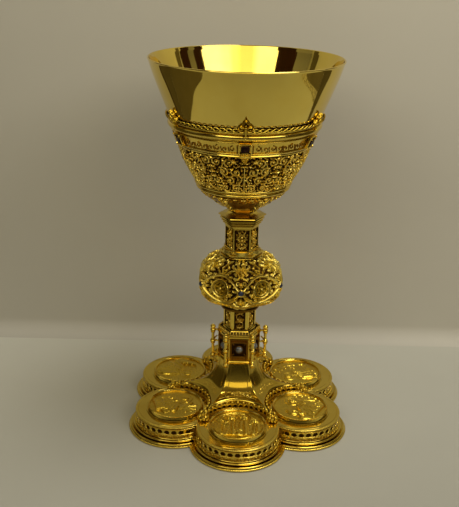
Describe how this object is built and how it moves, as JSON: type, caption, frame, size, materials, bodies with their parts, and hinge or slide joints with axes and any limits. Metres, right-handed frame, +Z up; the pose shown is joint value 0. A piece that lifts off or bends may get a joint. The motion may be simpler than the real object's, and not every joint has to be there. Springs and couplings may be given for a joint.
{
  "type": "communion chalice",
  "caption": "Neo-Gothic gilt communion chalice: flared cup in a pierced calyx, hexagonal stem with jewelled knop and turret, six-lobed foot with round medallions.",
  "frame": {"origin": "centre of the flat underside of the foot", "axes": "+Z up along the stem, -Y toward the middle of one foot lobe, +X to the right of it"},
  "size_m": [0.1412, 0.1546, 0.235],
  "materials": {
    "gilt_polished": "mirror-polished gilding",
    "gilt_chased": "gilt cast and chased ornament, darker in the recesses",
    "gilt_engraved": "gilt sheet with fine engraved foliage",
    "gilt_relief": "gilt low relief, softly polished",
    "gilt_shaded": "gilding in deep shade behind the openwork, red-brown",
    "steel": "plain turned steel",
    "garnet": "dark brown-red cut stone",
    "sapphire": "dark blue cabochon",
    "crystal": "pale grey cut stone"
  },
  "bodies": {
    "root": {"cup_bowl": "gilt_polished", "cup_boss": "gilt_polished", "calyx_fretwork": "gilt_chased", "calyx_band": "gilt_chased", "calyx_cresting": "gilt_chased", "calyx_lower_ring": "gilt_polished", "calyx_base": "gilt_chased", "collar": "gilt_polished", "upper_stem": "gilt_chased", "knop_top_ring": "gilt_polished", "knop_upper_shell": "gilt_chased", "knop_lower_shell": "gilt_chased", "knop_sleeve": "gilt_shaded", "lower_stem": "gilt_chased", "turret_body": "gilt_chased", "turret_cresting": "gilt_chased", "foot_spire": "gilt_engraved", "foot_parapet": "gilt_chased", "foot_plate": "gilt_polished", "foot_gallery": "gilt_chased", "foot_flange": "gilt_polished", "tie_rod": "steel", "clamp_washer": "steel", "clamp_nut": "steel", "band_gem_1": "garnet", "knop_gem_1": "sapphire", "turret_gem_1": "crystal", "colonnette_1": "gilt_polished", "bezel_1": "gilt_polished", "medallion_1": "gilt_relief", "band_gem_2": "garnet", "knop_gem_2": "sapphire", "turret_gem_2": "crystal", "colonnette_2": "gilt_polished", "bezel_2": "gilt_polished", "medallion_2": "gilt_relief", "band_gem_3": "garnet", "knop_gem_3": "sapphire", "turret_gem_3": "crystal", "colonnette_3": "gilt_polished", "bezel_3": "gilt_polished", "medallion_3": "gilt_relief", "band_gem_4": "garnet", "knop_gem_4": "sapphire", "turret_gem_4": "crystal", "colonnette_4": "gilt_polished", "bezel_4": "gilt_polished", "medallion_4": "gilt_relief", "band_gem_5": "garnet", "knop_gem_5": "sapphire", "turret_gem_5": "crystal", "colonnette_5": "gilt_polished", "bezel_5": "gilt_polished", "medallion_5": "gilt_relief", "band_gem_6": "garnet", "knop_gem_6": "sapphire", "turret_gem_6": "crystal", "colonnette_6": "gilt_polished", "bezel_6": "gilt_polished", "medallion_6": "gilt_relief"}
  },
  "joints": []
}
